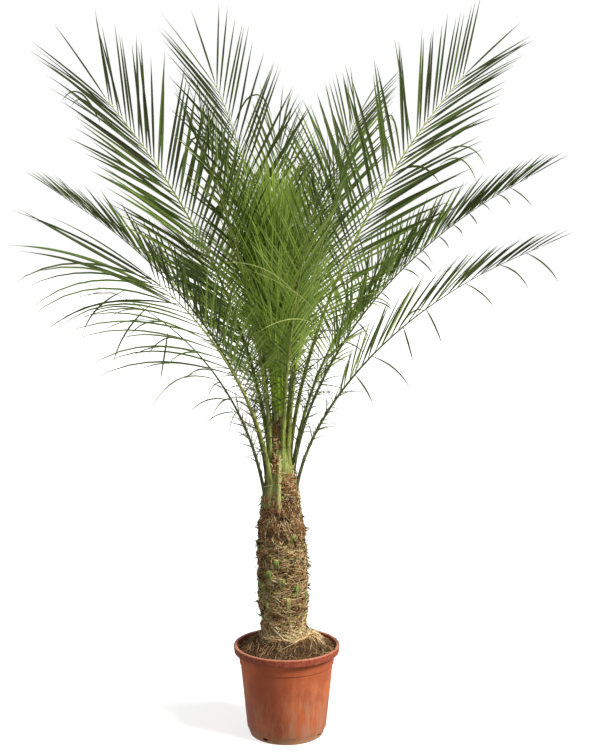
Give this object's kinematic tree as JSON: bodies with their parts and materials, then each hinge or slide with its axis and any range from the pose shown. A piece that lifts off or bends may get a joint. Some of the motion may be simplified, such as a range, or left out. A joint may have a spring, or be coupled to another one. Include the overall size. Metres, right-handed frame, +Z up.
{
  "type": "potted date palm",
  "caption": "Young feather-leaved date palm with a fibrous trunk and arching fronds, standing in a round terracotta-coloured nursery pot.",
  "frame": {"origin": "centre of the pot's flat underside, on the surface it stands on", "axes": "+Z up the pot's axis; the reference view looks along +Y, so +X is to its right and -Y is towards it"},
  "size_m": [1.7747, 1.8082, 2.4741],
  "materials": {
    "pot_plastic": "matte",
    "peat": "rough",
    "trunk_fibre": "rough",
    "leaf_bases": "satin",
    "spear_green": "satin",
    "stalk_green": "satin",
    "leaflet_green": "satin"
  },
  "bodies": {
    "root": {"pot": "pot_plastic", "soil": "peat", "trunk": "trunk_fibre", "heart": "leaf_bases", "spear": "spear_green", "stalk_left_low": "stalk_green", "stalk_right_low": "stalk_green", "stalk_back_low": "stalk_green", "stalk_front_left": "stalk_green", "stalk_right_back_low": "stalk_green", "stalk_left_mid": "stalk_green", "stalk_back_left_low": "stalk_green", "stalk_back_right_tall": "stalk_green", "stalk_right_mid": "stalk_green", "stalk_left_tall": "stalk_green", "stalk_front_left_inner": "stalk_green", "stalk_right_tall": "stalk_green", "stalk_back_inner": "stalk_green", "stalk_front_right_inner": "stalk_green", "stalk_left_inner": "stalk_green", "stalk_back_left_tall": "stalk_green", "stalk_front_mid": "stalk_green", "blade_left_low": "leaflet_green", "blade_right_low": "leaflet_green", "blade_back_low": "leaflet_green", "blade_front_left": "leaflet_green", "blade_right_back_low": "leaflet_green", "blade_left_mid": "leaflet_green", "blade_back_left_low": "leaflet_green", "blade_back_right_tall": "leaflet_green", "blade_right_mid": "leaflet_green", "blade_left_tall": "leaflet_green", "blade_front_left_inner": "leaflet_green", "blade_right_tall": "leaflet_green", "blade_back_inner": "leaflet_green", "blade_front_right_inner": "leaflet_green", "blade_left_inner": "leaflet_green", "blade_back_left_tall": "leaflet_green", "blade_front_mid": "leaflet_green"}
  },
  "joints": []
}
